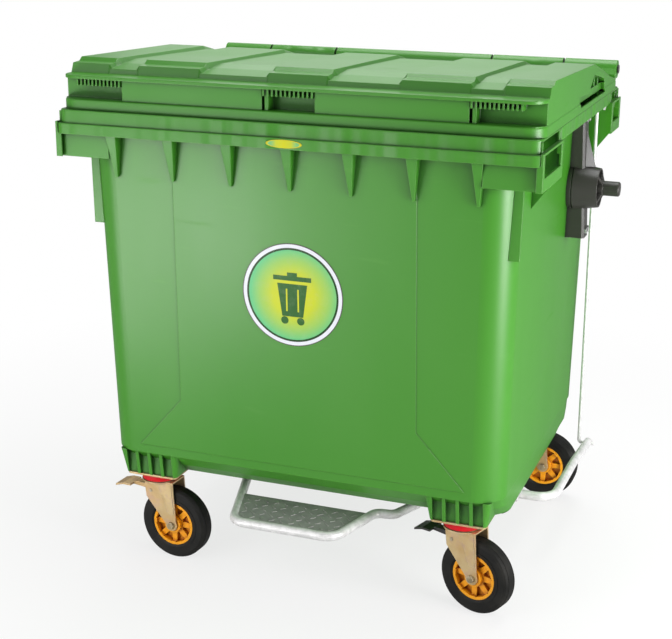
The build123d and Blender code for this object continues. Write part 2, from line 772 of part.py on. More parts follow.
brake_pin_x = -12
brake_pin_drop = 28
brake_pin_radius = 4
brake_reach = 130
brake_width = 56
brake_stem_width = 24
brake_wall = 5
brake_hub = 7
brake_knee_x = -82
brake_knee_rise = 3
brake_tip_drop = 4
brake_pin_z = crown_low - brake_pin_drop
brake_knee_z = brake_pin_z + brake_knee_rise
brake_tip_z = brake_pin_z - brake_tip_drop


def fork():
    """The pressed fork: a round crown and two folded legs that narrow down to the axle."""
    boss_reach = leg_boss_share * leg_boss
    shape = upright(crown_radius, crown_low, crown_top)
    shape += block((leg_top_front, -fork_half, crown_low), (leg_top_rear, fork_half, crown_top))
    leg_points = [
        (leg_top_front, crown_top), (leg_top_rear, crown_top), (castor_trail + boss_reach, wheel_radius),
        (castor_trail - boss_reach, wheel_radius), (leg_elbow_x, crown_top - leg_elbow_drop),
    ]
    leg_face = Plane.XZ * outline_face(leg_points)
    leg_face += Plane.XZ * (Pos(castor_trail, wheel_radius) * Circle(leg_boss))
    fold_low = wheel_radius + 2 * leg_boss
    fold_points = [
        (leg_fold_x, crown_low), (leg_top_rear - leg_wall, crown_low),
        (castor_trail + leg_boss / 2, fold_low), (castor_trail - leg_boss / 2, fold_low),
    ]
    leg = extrude(leg_face, leg_wall / 2, both=True)
    fold = extrude(Plane.XZ * outline_face(fold_points), leg_emboss, both=True)
    for side in (-1, 1):
        shape += Pos(0, side * (leg_inner + leg_wall / 2), 0) * leg
        shape += Pos(0, side * fork_half, 0) * fold
    shape -= upright(king_radius + running_fit, crown_low - overrun, crown_top + overrun)
    shape -= bar_y(castor_trail, wheel_radius, axle_radius + running_fit, 4 * fork_half)
    return shape - bar_y(brake_pin_x, brake_pin_z, brake_pin_radius + running_fit, 4 * fork_half)


def axle():
    """The axle bolt with its hexagon head and nut outside the legs."""
    shape = Cylinder(axle_radius, 2 * fork_half + 2 * axle_head_height)
    head = extrude(RegularPolygon(axle_head_radius, 6), axle_head_height / 2, both=True)
    for side in (-1, 1):
        shape += Pos(0, 0, side * (fork_half + axle_head_height / 2)) * head
    return Pos(castor_trail, 0, wheel_radius) * Rot(90, 0, 0) * shape


def bush():
    """The roller bush that the wheel turns on."""
    return ring_y(bush_radius, axle_radius + running_fit, leg_inner - clearance)


def wheel_rim():
    """The moulded rim: a boss, a felloe and a web with wedge pockets that leave eight spokes."""
    reach = rim_radius - felloe_wall
    shape = ring_y(hub_boss_radius, bush_radius + running_fit, hub_width / 2 - clearance)
    shape += ring_y(reach + leg_gap, hub_boss_radius - leg_gap, web_half + wedge_depth / 2)
    shape += ring_y(rim_radius, reach, tyre_width / 2 - felloe_inset)
    inner = hub_boss_radius + leg_wall
    spread = wedge_share * reach
    wedge = outline_face([(inner, -wedge_root), (reach, -spread), (reach, spread), (inner, wedge_root)])
    cut = extrude(Plane.XZ * wedge, wedge_depth / 2, both=True)
    for side in (-1, 1):
        for n in range(spoke_count):
            turned = Rot(0, (n + 0.5) * 360 / spoke_count, 0) * cut
            shape -= Pos(castor_trail, side * (web_half + wedge_depth / 2), wheel_radius) * turned
    return shape


def tyre():
    """The rubber tyre: thick beads, rounded shoulders and a tread with a groove near each edge."""
    half = tyre_width / 2
    bore = rim_radius + running_fit
    shoulder = half - tyre_shoulder
    low = wheel_radius - tyre_groove
    side = [
        (bore, half - felloe_inset), (bore + tyre_bead, half), (bore + 2 * tyre_bead, half),
        (bore + 2 * tyre_bead, half - tyre_groove), (wheel_radius - tyre_shoulder, half - tyre_groove),
        (wheel_radius - tyre_shoulder_drop, half - tyre_shoulder / 2), (wheel_radius, shoulder),
        (low, shoulder - tyre_groove_width / 2), (low, shoulder - 3 * tyre_groove_width / 2),
        (wheel_radius, shoulder - 2 * tyre_groove_width),
    ]
    return turned_y([(r, -y) for r, y in side] + side[::-1])


def brake_pin():
    """The cross pin through both legs that the brake lever turns on."""
    return bar_y(brake_pin_x, brake_pin_z, brake_pin_radius, 2 * fork_half + brake_pin_radius)


def brake():
    """The brake lever: a stem between the legs and a wide bent tread beyond the crown."""
    hub_low = brake_pin_z - brake_hub
    hub_high = brake_pin_z + brake_hub
    bend_x = (brake_knee_x - brake_reach) / 2
    stem = [
        (brake_pin_x + brake_hub, hub_low), (brake_pin_x + brake_hub, hub_high),
        (brake_knee_x + brake_hub, hub_high), (brake_knee_x, brake_knee_z),
        (brake_knee_x, brake_knee_z - brake_wall), (brake_pin_x - brake_hub, hub_low),
    ]
    blade = [
        (brake_knee_x, brake_knee_z), (bend_x, brake_knee_z), (-brake_reach, brake_tip_z),
        (-brake_reach, brake_tip_z - brake_wall), (bend_x, brake_knee_z - brake_wall),
        (brake_knee_x, brake_knee_z - brake_wall),
    ]
    shape = extrude(Plane.XZ * outline_face(stem), brake_stem_width / 2, both=True)
    shape += extrude(Plane.XZ * outline_face(blade), brake_width / 2, both=True)
    return shape - bar_y(brake_pin_x, brake_pin_z, brake_pin_radius + running_fit, brake_width)


# The pedal lever: one bent galvanised tube under the belly, from the tread to the push rod
route_x_shares = (-0.648, -0.528, -0.289, 0.2315, 0.326, 0.417, 0.613)
route_y_shares = (0, 0, 1, 1, 0.587, 0.578, 0)
route_bend_shares = (0.6, 0.9, 0.9, 0.6, 0.5, 0.8, 1, 4)
lever_bend = 50
tread_stand = 55
rod_foot_overhang = 8
crank_inset = 23
crank_spread = 12.5
crank_knee_run = 168
tread_front_y = crease_front_y - tread_stand
half_width = tub_crease_width / 2
crank_x = rim_width / 2 - crank_inset
lever_route = []
for x_share, y_share in zip(route_x_shares, route_y_shares):
    lever_route.append((x_share * half_width, pedal_pivot_y + y_share * (tread_front_y - pedal_pivot_y)))
lever_route += [(crank_x, pedal_pivot_y), (crank_x + crank_spread / 5, rod_foot_y - crank_knee_run),
                (crank_x + crank_spread + running_fit, rod_foot_y + pedal_tube_radius + running_fit)]
lever_path = FilletPolyline(*[(x, y, pedal_z) for x, y in lever_route],
                            radius=[share * lever_bend for share in route_bend_shares])
lever_start = Plane(origin=lever_path @ 0, z_dir=lever_path % 0)
lever = sweep(lever_start * Circle(pedal_tube_radius), lever_path)
rod_foot_x = rim_width / 2 + rod_foot_overhang
rod_foot = (rod_foot_x + overrun, rod_foot_y, pedal_z)
lever -= rod_between((rod_x, rod_foot_y, pedal_z), rod_foot, rod_radius + running_fit)

# The chequered tread plate lies between the arms of the lever
tread_wall = 3
tread_rise = 5
tread_length = 157
bar_height = 1.2
bar_pitch = 26
bar_length = 16
bar_width = 3
bar_margin = 24
bar_rows = 5
tread_rear_y = tread_front_y + tread_length
tread_x_shares = (-0.289, 0.2315, 0.311, -0.372)
tread_corners = [share * half_width for share in tread_x_shares]
tread_plan = [(tread_corners[0], tread_front_y), (tread_corners[1], tread_front_y),
              (tread_corners[2], tread_rear_y), (tread_corners[3], tread_rear_y)]
tread = extrude(Pos(0, 0, pedal_z + tread_rise) * outline_face(tread_plan), tread_wall)
bar_z = pedal_z + tread_rise + tread_wall + bar_height / 2
for row in range(bar_rows):
    y = tread_front_y + bar_margin + row * bar_pitch
    advance = (y - tread_front_y) / tread_length
    left = tread_corners[0] + advance * (tread_corners[3] - tread_corners[0]) + bar_margin
    right = tread_corners[1] + advance * (tread_corners[2] - tread_corners[1]) - bar_margin
    count = int((right - left) / bar_pitch)
    for column in range(count + 1):
        x = left + (right - left) * column / count
        turn = 45 if (row + column) % 2 else -45
        tread += Pos(x, y, bar_z) * Rot(0, 0, turn) * Box(bar_length, bar_width, bar_height)
tread -= lever
tread = max(tread.solids(), key=lambda piece: piece.volume)

# Saddle brackets carry the lever's straight ends under the belly
saddle_width = 28
saddle_depth = 46
saddle_wall = 6
saddle_bolt_share = 0.78
saddle_x_shares = (-0.611, 0.694, 0.907)
saddles = []
saddle_bolts = []
for share in saddle_x_shares:
    x = share * half_width
    low_x = x - saddle_width / 2
    high_x = x + saddle_width / 2
    foot_z = pedal_z - pedal_tube_radius - clearance - saddle_wall / 4
    flange_z = tub_bottom_z - saddle_wall
    saddle = block((low_x, pedal_pivot_y - saddle_depth / 2, foot_z),
                   (high_x, pedal_pivot_y + saddle_depth / 2, tub_bottom_z))
    saddle += block((low_x, pedal_pivot_y - saddle_depth, flange_z),
                    (high_x, pedal_pivot_y + saddle_depth, tub_bottom_z))
    tube_low = (low_x - saddle_width, pedal_pivot_y, pedal_z)
    tube_high = (high_x + saddle_width, pedal_pivot_y, pedal_z)
    saddle -= rod_between(tube_low, tube_high, pedal_tube_radius + running_fit)
    saddles.append(saddle)
    for side in (-1, 1):
        spot_y = pedal_pivot_y + side * saddle_bolt_share * saddle_depth
        head = Pos(x, spot_y, tub_bottom_z - saddle_wall - bolt_head_height) * RegularPolygon(bolt_head, 6)
        saddle_bolts.append(extrude(head, bolt_head_height))

# The push rod: a bent bar from the end of the lever up to the slotted lug of the lid
rod_bend = 9
rod_end_x = lid_width / 2 - lid_wall - clearance
rod_route = [
    (rod_foot_x, rod_foot_y, pedal_z), (rod_x, rod_foot_y, pedal_z),
    (rod_x, rod_head_y, rod_head_z), (rod_end_x, rod_head_y, rod_head_z),
]
rod_path = FilletPolyline(*rod_route, radius=rod_bend)
rod = sweep(Plane(origin=rod_path @ 0, z_dir=rod_path % 0) * Circle(rod_radius), rod_path)

# The lid's steel lug: a plate on the inside of the lid's side, with a slot for the rod's bent head
lug_wall = 5
lug_slot_half = 9
lug_margin = 8
lug_rise = 26.5
slot_near = 153
slot_far = 182
lug_reach = math.hypot(hinge_y - rod_head_y, hinge_z - rod_head_z)
lug_out = lid_width / 2 - lid_wall
lug_half = lug_slot_half + lug_margin
lug_top_z = rim_top + lug_rise


def on_lug(distance):
    """A point on the line from the hinge axis to the rod's head."""
    share = distance / lug_reach
    return hinge_y - share * (hinge_y - rod_head_y), hinge_z - share * (hinge_z - rod_head_z)


near_y, near_z = on_lug(slot_near)
far_y, far_z = on_lug(slot_far)
lug_outline = [(far_y - lug_margin, lug_top_z), (far_y - lug_half, far_z), (far_y, far_z - lug_half),
               (near_y, near_z - lug_half), (near_y + lug_half, near_z), (near_y + lug_half, lug_top_z)]
lid_lug = prism_x(lug_outline, lug_out - lug_wall, lug_out)
for distance in (slot_near, slot_far):
    y, z = on_lug(distance)
    lid_lug -= rod_between((lug_out - 2 * lug_wall, y, z), (lug_out + lug_wall, y, z), lug_slot_half)
slant = math.degrees(math.atan2(hinge_z - rod_head_z, hinge_y - rod_head_y))
slot_middle = on_lug((slot_near + slot_far) / 2)
slot_box = Rot(slant, 0, 0) * Box(3 * lug_wall, slot_far - slot_near, 2 * lug_slot_half)
lid_lug -= Pos(lug_out, slot_middle[0], slot_middle[1]) * slot_box

# Hinge pins run from each end through the knuckles into the middle barrel
pin_head_radius = 12
pin_head_wall = 4
pin_run = 38
pin_inner_x = hinge_marks[0] - pin_run
head_x = hinge_marks[2] + clearance
pin_end = (head_x + pin_head_wall, hinge_y, hinge_z)
pin_right = rod_between((pin_inner_x, hinge_y, hinge_z), pin_end, hinge_pin_radius)
pin_right += rod_between((head_x, hinge_y, hinge_z), pin_end, pin_head_radius)
hinge_pins = both_sides(pin_right)

# A round information plate and a small oval rim plate, both bare
round_plate_radius = 133
round_plate_wall = 1
round_plate_drop = 431.5
rim_plate_half = 46
rim_plate_height = 20
slope_turn = math.degrees(math.atan2(front_draft, rim_top - tub_crease_z))
drop_share = round_plate_drop / (rim_top - tub_crease_z)
round_plate_y = -tub_top_depth / 2 - panel_relief + drop_share * front_draft
round_place = (0, round_plate_y, rim_top - round_plate_drop)
label_plane = Plane(origin=round_place, x_dir=(1, 0, 0), z_dir=(0, -1, 0)).rotated((slope_turn, 0, 0))
round_label = extrude(label_plane * Circle(round_plate_radius), round_plate_wall) - trough
badge_place = (0, -rim_depth / 2, (band_low + band_step) / 2)
badge_plane = Plane(origin=badge_place, x_dir=(1, 0, 0), z_dir=(0, -1, 0))
rim_badge = extrude(badge_plane * Ellipse(rim_plate_half, rim_plate_height / 2), round_plate_wall)

os.makedirs("parts", exist_ok=True)
write("tub", tub)
write("tub_base", tub_base)
write("tub_rim", tub_rim)
write("tub_handles", tub_handles)
write("tub_gussets", tub_gussets)
write("drain_plug", drain_plug)
write("trunnion_left", trunnion_left)
write("trunnion_right", trunnion_right)
write("trunnion_screws", trunnion_screws)
write("hinge_pins", hinge_pins)
write("round_label", round_label)
write("rim_badge", rim_badge)
write("lid", lid)
write("lid_lug", lid_lug)
write("pedal_lever", lever)
write("pedal_tread", tread)
write("pedal_saddles", saddles)
write("pedal_saddle_bolts", saddle_bolts)
write("push_rod", rod)
plates = []
seals = []
kings = []
bolts = []
for name, (x, y) in castor_places.items():
    place = Pos(x, y, 0)
    swivel = place * Rot(0, 0, castor_yaw[name])
    plates.append(place * castor_plate())
    seals.append(place * castor_seal())
    kings.append(place * king_bolt())
    bolts += [place * bolt for bolt in plate_bolts()]
    write("castor_fork_" + name, swivel * fork())
    write("castor_axle_" + name, swivel * axle())
    write("wheel_bush_" + name, swivel * bush())
    write("wheel_rim_" + name, swivel * wheel_rim())
    write("wheel_tyre_" + name, swivel * tyre())
    if name.startswith("front"):
        write("brake_lever_" + name, swivel * brake())
        write("brake_pin_" + name, swivel * brake_pin())
write("castor_plates", plates)
write("castor_seals", seals)
write("castor_king_bolts", kings)
write("castor_plate_bolts", bolts)
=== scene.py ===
import bpy
import math
from mathutils import Matrix, Vector

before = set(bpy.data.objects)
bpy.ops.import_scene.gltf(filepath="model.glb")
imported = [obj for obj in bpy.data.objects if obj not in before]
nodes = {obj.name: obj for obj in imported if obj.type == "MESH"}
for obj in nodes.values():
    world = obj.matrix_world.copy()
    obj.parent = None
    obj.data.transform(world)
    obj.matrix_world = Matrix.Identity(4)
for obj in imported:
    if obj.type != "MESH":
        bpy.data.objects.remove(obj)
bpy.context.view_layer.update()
scene = bpy.context.scene

# The view: a long lens to the right of the front and well above the rim, as for a catalogue picture.
# Angles are degrees, places metres; the roll is the small tilt of the picture.
VIEW_TURN = math.radians(20.08)
VIEW_TILT = math.radians(16.72)
VIEW_ROLL = math.radians(0.52)
VIEW_PLACE = Vector((1.24537, -3.56385, 1.75137))
LENS = 74.99

level = Vector((math.cos(VIEW_TURN), math.sin(VIEW_TURN), 0))
inward = Vector((-math.sin(VIEW_TURN), math.cos(VIEW_TURN), 0))
ahead = math.cos(VIEW_TILT) * inward - math.sin(VIEW_TILT) * Vector((0, 0, 1))
upward = level.cross(ahead)
across = math.cos(VIEW_ROLL) * level + math.sin(VIEW_ROLL) * upward
upright = math.cos(VIEW_ROLL) * upward - math.sin(VIEW_ROLL) * level
camera = bpy.data.objects.new("view", bpy.data.cameras.new("view"))
camera.data.lens = LENS
camera.matrix_world = Matrix.Translation(VIEW_PLACE) @ Matrix((across, upright, -ahead)).transposed().to_4x4()
scene.collection.objects.link(camera)
scene.camera = camera
scene.view_settings.view_transform = "Standard"

# The studio: a white floor that keeps a soft shadow near the wheels and fades to plain white farther out,
# a pale room all round, and five soft boxes, each with its place, target, width, height (metres) and power
# (watts). The low one at the left gives the front its pale sheen.
FLOOR_REACH = 40.0
SHADOW_REACH = (1.1, 2.4)
SHADOW_LIFT = 0.76
ROOM_LIGHT = 0.33
ROOM_GLOSS = 0.31
FLOOR_GLOSS = 0.34
FLOOR_WHITE = (0.9, 0.9, 0.9, 1)
SOFT_BOXES = {
    "box_front_left": ((-1.7, -3.0, 2.5), (0, 0, 0.8), 2.2, 2.0, 24),
    "box_low_left": ((-1.35, -2.2, 0.10), (-0.2, -0.4, 0.95), 1.2, 1.1, 38),
    "box_right": ((2.5, -0.9, 0.8), (0.3, 0, 0.7), 1.1, 1.4, 60),
    "box_above": ((0.2, 0.8, 4.0), (0, 0, 0.8), 3.0, 2.6, 105),
    "box_behind": ((-1.2, 3.4, 2.6), (0, 0, 0.8), 2.6, 1.4, 14),
}

world = bpy.data.worlds.new("room")
world.use_nodes = True
scene.world = world
room = world.node_tree
room.nodes.clear()
rays = room.nodes.new("ShaderNodeLightPath")


def plain_light(value):
    """Even grey light of one strength."""
    light = room.nodes.new("ShaderNodeBackground")
    light.inputs["Color"].default_value = (value, value, value, 1)
    return light.outputs[0]


def chosen(flag, without, with_flag):
    """One light for most rays and another for the rays of one kind."""
    mixer = room.nodes.new("ShaderNodeMixShader")
    room.links.new(rays.outputs[flag], mixer.inputs[0])
    room.links.new(without, mixer.inputs[1])
    room.links.new(with_flag, mixer.inputs[2])
    return mixer.outputs[0]


light = chosen("Is Glossy Ray", plain_light(ROOM_LIGHT), plain_light(ROOM_GLOSS))
light = chosen("Is Transmission Ray", light, plain_light(1))
light = chosen("Is Camera Ray", light, plain_light(1))
world_out = room.nodes.new("ShaderNodeOutputWorld")
room.links.new(light, world_out.inputs["Surface"])

for name, (place, target, width, height, power) in SOFT_BOXES.items():
    lamp = bpy.data.lights.new(name, "AREA")
    lamp.shape = "RECTANGLE"
    lamp.size = width
    lamp.size_y = height
    lamp.energy = power
    holder = bpy.data.objects.new(name, lamp)
    holder.location = place
    holder.rotation_mode = "QUATERNION"
    holder.rotation_quaternion = (Vector(target) - Vector(place)).to_track_quat("-Z", "Y")
    holder.visible_camera = False
    scene.collection.objects.link(holder)


def floor_material():
    """White paint near the object, so that its shadow shows, and plain white light far away."""
    material = bpy.data.materials.new("studio_floor")
    material.use_nodes = True
    tree = material.node_tree
    tree.nodes.clear()
    link = tree.links.new
    place = tree.nodes.new("ShaderNodeNewGeometry")
    distance = tree.nodes.new("ShaderNodeVectorMath")
    distance.operation = "LENGTH"
    link(place.outputs["Position"], distance.inputs[0])
    fade = tree.nodes.new("ShaderNodeMapRange")
    fade.interpolation_type = "SMOOTHSTEP"
    fade.inputs["From Min"].default_value = SHADOW_REACH[0]
    fade.inputs["From Max"].default_value = SHADOW_REACH[1]
    fade.inputs["To Min"].default_value = SHADOW_LIFT
    link(distance.outputs["Value"], fade.inputs["Value"])
    path = tree.nodes.new("ShaderNodeLightPath")
    seen = tree.nodes.new("ShaderNodeMath")
    seen.operation = "MULTIPLY"
    link(path.outputs["Is Camera Ray"], seen.inputs[0])
    link(fade.outputs["Result"], seen.inputs[1])
    paint = tree.nodes.new("ShaderNodeBsdfDiffuse")
    paint.inputs["Color"].default_value = FLOOR_WHITE
    white = tree.nodes.new("ShaderNodeEmission")
    grey = tree.nodes.new("ShaderNodeEmission")
    grey.inputs["Strength"].default_value = FLOOR_GLOSS
    by_eye = tree.nodes.new("ShaderNodeMixShader")
    by_gloss = tree.nodes.new("ShaderNodeMixShader")
    out = tree.nodes.new("ShaderNodeOutputMaterial")
    link(seen.outputs[0], by_eye.inputs[0])
    link(paint.outputs[0], by_eye.inputs[1])
    link(white.outputs[0], by_eye.inputs[2])
    link(path.outputs["Is Glossy Ray"], by_gloss.inputs[0])
    link(by_eye.outputs[0], by_gloss.inputs[1])
    link(grey.outputs[0], by_gloss.inputs[2])
    link(by_gloss.outputs[0], out.inputs["Surface"])
    return material


floor_mesh = bpy.data.meshes.new("studio_floor")
floor_sides = ((-1, -1), (1, -1), (1, 1), (-1, 1))
floor_corners = [(FLOOR_REACH * x, FLOOR_REACH * y, 0) for x, y in floor_sides]
floor_mesh.from_pydata(floor_corners, [], [(0, 1, 2, 3)])
floor_mesh.materials.append(floor_material())
floor = bpy.data.objects.new("studio_floor", floor_mesh)
scene.collection.objects.link(floor)


# The tub: one large moulding of green polyethylene, semi-gloss, with a fine grain, faint flow clouds,
# and edges that are rounded and rubbed a little paler.
def linear(red, green, blue):
    """A colour picked as 8-bit screen values, as the shader wants it."""
    levels = (red / 255, green / 255, blue / 255)
    return tuple(v / 12.92 if v <= 0.04045 else ((v + 0.055) / 1.055) ** 2.4 for v in levels) + (1,)


def new_group(name, inputs, outputs):
    """An empty shader node group with named sockets."""
    group = bpy.data.node_groups.new(name, "ShaderNodeTree")
    for label, kind, value in inputs:
        socket = group.interface.new_socket(name=label, in_out="INPUT", socket_type=kind)
        if value is not None:
            socket.default_value = value
    for label, kind in outputs:
        group.interface.new_socket(name=label, in_out="OUTPUT", socket_type=kind)
    return group, group.nodes.new("NodeGroupInput"), group.nodes.new("NodeGroupOutput")


def feed(tree, value, socket):
    """Links a socket to another one, or gives it a fixed value."""
    if isinstance(value, bpy.types.NodeSocket):
        tree.links.new(value, socket)
    else:
        socket.default_value = value


def surface_noise(tree, scale, detail=3.0, stretch=(1, 1, 1)):
    """A noise that follows the piece, finer with a larger scale, drawn out along an axis by stretch."""
    coordinates = tree.nodes.new("ShaderNodeTexCoord")
    mapping = tree.nodes.new("ShaderNodeMapping")
    mapping.inputs["Scale"].default_value = stretch
    noise = tree.nodes.new("ShaderNodeTexNoise")
    noise.inputs["Detail"].default_value = detail
    feed(tree, scale, noise.inputs["Scale"])
    tree.links.new(coordinates.outputs["Object"], mapping.inputs["Vector"])
    tree.links.new(mapping.outputs["Vector"], noise.inputs["Vector"])
    return noise


def ranged(tree, value, low, high, to_low=0.0, to_high=1.0):
    """A value carried from one range to another and held inside it."""
    node = tree.nodes.new("ShaderNodeMapRange")
    node.inputs["From Min"].default_value = low
    node.inputs["From Max"].default_value = high
    node.inputs["To Min"].default_value = to_low
    node.inputs["To Max"].default_value = to_high
    tree.links.new(value, node.inputs["Value"])
    return node.outputs["Result"]


def blended(tree, factor, first, second):
    """Two colours mixed; each is a socket or a fixed colour."""
    node = tree.nodes.new("ShaderNodeMix")
    node.data_type = "RGBA"
    sockets = (node.inputs[0], node.inputs[6], node.inputs[7])
    for socket, value in zip(sockets, (factor, first, second)):
        feed(tree, value, socket)
    return node.outputs[2]


def maths(tree, operation, *values):
    """Values joined by one operation."""
    node = tree.nodes.new("ShaderNodeMath")
    node.operation = operation
    for socket, value in zip(node.inputs, values):
        feed(tree, value, socket)
    return node.outputs[0]


# Scales count per metre, reliefs are a strength and a height in metres, and shares run from 0 to 1.
MASK_SAMPLES = 6
RUB_TURN = (0.985, 0.80)
# Painted shade: the occlusion mask runs from open to closed between these two values.
SHADE_OPENNESS = (0.92, 0.30)
CLOUD_SCALE = 2.3
SPECK_SCALE = 160.0
SCUFF_SCALE = 26.0
CLOUD_SHARE = 0.07
SCUFF_SHARE = 0.07
SCUFF_DULLING = 0.8
SPECK_SHARE = (0.25, 0.75)
SKIN_ROUGHNESS = (0.32, 0.42)
GRAIN_RELIEF = (0.12, 0.0006)
SINK_SCALE = 17.0
SINK_STRETCH = (1, 1, 0.08)
SINK_STRENGTH = 0.6


def edge_rub_group():
    """Rounded normals near sharp edges, and a mask of where hands and lifting gear rub."""
    outputs = [("Mask", "NodeSocketFloat"), ("Normal", "NodeSocketVector")]
    group, given, out = new_group("edge_rub", [("Radius", "NodeSocketFloat", 0.003)], outputs)
    soft = group.nodes.new("ShaderNodeBevel")
    soft.samples = MASK_SAMPLES
    sharp = group.nodes.new("ShaderNodeNewGeometry")
    turn = group.nodes.new("ShaderNodeVectorMath")
    turn.operation = "DOT_PRODUCT"
    group.links.new(given.outputs["Radius"], soft.inputs["Radius"])
    group.links.new(soft.outputs["Normal"], turn.inputs[0])
    group.links.new(sharp.outputs["Normal"], turn.inputs[1])
    group.links.new(ranged(group, turn.outputs["Value"], *RUB_TURN), out.inputs["Mask"])
    group.links.new(soft.outputs["Normal"], out.inputs["Normal"])
    return group


def painted_shade_group():
    """A mask of painted shade in gaps, undersides and inner corners, where little light comes."""
    inputs = [("Reach", "NodeSocketFloat", 0.02)]
    group, given, out = new_group("painted_shade", inputs, [("Mask", "NodeSocketFloat")])
    nearness = group.nodes.new("ShaderNodeAmbientOcclusion")
    nearness.samples = MASK_SAMPLES
    group.links.new(given.outputs["Reach"], nearness.inputs["Distance"])
    group.links.new(ranged(group, nearness.outputs["AO"], *SHADE_OPENNESS), out.inputs["Mask"])
    return group


def moulded_skin_group():
    """Clouded colour with painted shade in its gaps, grain height and gloss of a moulded plastic wall."""
    inputs = [("Colour", "NodeSocketColor", None), ("Pale", "NodeSocketColor", None),
              ("Dark", "NodeSocketColor", None), ("Rub", "NodeSocketFloat", 0.0),
              ("Crevice", "NodeSocketFloat", 0.0), ("Grain", "NodeSocketFloat", 900.0)]
    outputs = [("Colour", "NodeSocketColor"), ("Roughness", "NodeSocketFloat"), ("Height", "NodeSocketFloat")]
    group, given, out = new_group("moulded_skin", inputs, outputs)
    clouds = surface_noise(group, CLOUD_SCALE, 4.0, (1, 1, 0.35))
    specks = surface_noise(group, SPECK_SCALE, 2.0)
    scuffs = surface_noise(group, SCUFF_SCALE, 6.0, (0.25, 0.25, 1.6))
    grain = surface_noise(group, given.outputs["Grain"], 2.0)
    cloud = ranged(group, clouds.outputs["Fac"], 0.35, 0.70, 0.0, CLOUD_SHARE)
    clouded = blended(group, cloud, given.outputs["Colour"], given.outputs["Pale"])
    scuff = ranged(group, scuffs.outputs["Fac"], 0.64, 0.74, 0.0, SCUFF_SHARE)
    scuffed = blended(group, scuff, clouded, given.outputs["Pale"])
    speck = ranged(group, specks.outputs["Fac"], 0.3, 0.7, *SPECK_SHARE)
    rub = maths(group, "MULTIPLY", given.outputs["Rub"], speck)
    rubbed = blended(group, rub, scuffed, given.outputs["Pale"])
    # Painted shade: the colour runs to the darkest colour where the occlusion mask says little light comes.
    shaded = blended(group, given.outputs["Crevice"], rubbed, given.outputs["Dark"])
    group.links.new(shaded, out.inputs["Colour"])
    roughness = ranged(group, clouds.outputs["Fac"], 0.3, 0.7, *SKIN_ROUGHNESS)
    dulling = maths(group, "MULTIPLY", scuff, SCUFF_DULLING)
    group.links.new(maths(group, "ADD", roughness, dulling), out.inputs["Roughness"])
    group.links.new(grain.outputs["Fac"], out.inputs["Height"])
    return group


edge_rub = edge_rub_group()
painted_shade = painted_shade_group()
moulded_skin = moulded_skin_group()


def use_group(tree, group, **values):
    """One group placed in a material, with its own values."""
    node = tree.nodes.new("ShaderNodeGroup")
    node.node_tree = group
    for label, value in values.items():
        feed(tree, value, node.inputs[label.replace("_", " ")])
    return node


def bare_material(name):
    """A material with its tree and its one Principled shader."""
    material = bpy.data.materials.new(name)
    material.use_nodes = True
    tree = material.node_tree
    return material, tree, tree.nodes["Principled BSDF"]


def bump(tree, height, normal, strength, distance):
    """Small relief on top of a normal."""
    node = tree.nodes.new("ShaderNodeBump")
    node.inputs["Strength"].default_value = strength
    node.inputs["Distance"].default_value = distance
    tree.links.new(height, node.inputs["Height"])
    if normal is not None:
        tree.links.new(normal, node.inputs["Normal"])
    return node.outputs["Normal"]


def plastic(name, colour, pale, shade_colour, edge=0.003, reach=0.03, specular=0.6, grain=900.0, sink=0.0):
    """Semi-gloss moulded plastic with its grain, clouds, scuffs, rubbed edges, painted shade in its gaps, and
    sink marks.
    """
    material, tree, shader = bare_material(name)
    rub = use_group(tree, edge_rub, Radius=edge)
    shade_mask = use_group(tree, painted_shade, Reach=reach)
    skin = use_group(tree, moulded_skin, Colour=colour, Pale=pale, Dark=shade_colour, Rub=rub.outputs["Mask"],
                     Crevice=shade_mask.outputs["Mask"], Grain=grain)
    relief = bump(tree, skin.outputs["Height"], rub.outputs["Normal"], *GRAIN_RELIEF)
    if sink:
        waves = surface_noise(tree, SINK_SCALE, 1.0, SINK_STRETCH)
        relief = bump(tree, waves.outputs["Fac"], relief, SINK_STRENGTH, sink)
    tree.links.new(skin.outputs["Colour"], shader.inputs["Base Color"])
    tree.links.new(skin.outputs["Roughness"], shader.inputs["Roughness"])
    tree.links.new(relief, shader.inputs["Normal"])
    shader.inputs["Specular IOR Level"].default_value = specular
    return material


def dress(material, *names):
    """Gives CAD pieces their finish."""
    for name in names:
        mesh = nodes[name].data
        mesh.materials.clear()
        mesh.materials.append(material)


# In every plastic below, the third colour is painted shade for gaps, undersides and inner corners.
GREEN = linear(60, 137, 28)
GREEN_PALE = linear(116, 178, 84)
GREEN_SHADE = linear(22, 72, 12)
tub_green = plastic("tub_green", GREEN, GREEN_PALE, GREEN_SHADE, reach=0.04)
dress(tub_green, "tub", "tub_base", "tub_handles", "tub_gussets", "drain_plug")

# The rim is the same moulding, with faint upright sink marks in its two bands, where the ribs behind them
# drew the wall in as it cooled.
dress(plastic("rim_green", GREEN, GREEN_PALE, GREEN_SHADE, reach=0.04, sink=0.02), "tub_rim")

# The lid: a second moulding of the same green, slid onto its hinge pins, with crisper edges and narrower
# painted shade in its corners than the tub.
lid_green = plastic("lid_green", GREEN, GREEN_PALE, GREEN_SHADE, edge=0.0025, reach=0.022)
dress(lid_green, "lid")

# The trunnions: black filled plastic over steel, screwed to the ends of the tub for the lorry's arms,
# satin, with a fine spark-eroded skin. The hinge pins and the bushes in the wheels are the same black.
CORNERS = ("front_left", "front_right", "rear_left", "rear_right")
black = plastic("trunnion_black", linear(54, 53, 49), linear(112, 110, 103), linear(24, 24, 22),
                edge=0.002, reach=0.015, grain=1400.0)
dress(black, "trunnion_left", "trunnion_right", "hinge_pins", *["wheel_bush_" + c for c in CORNERS])


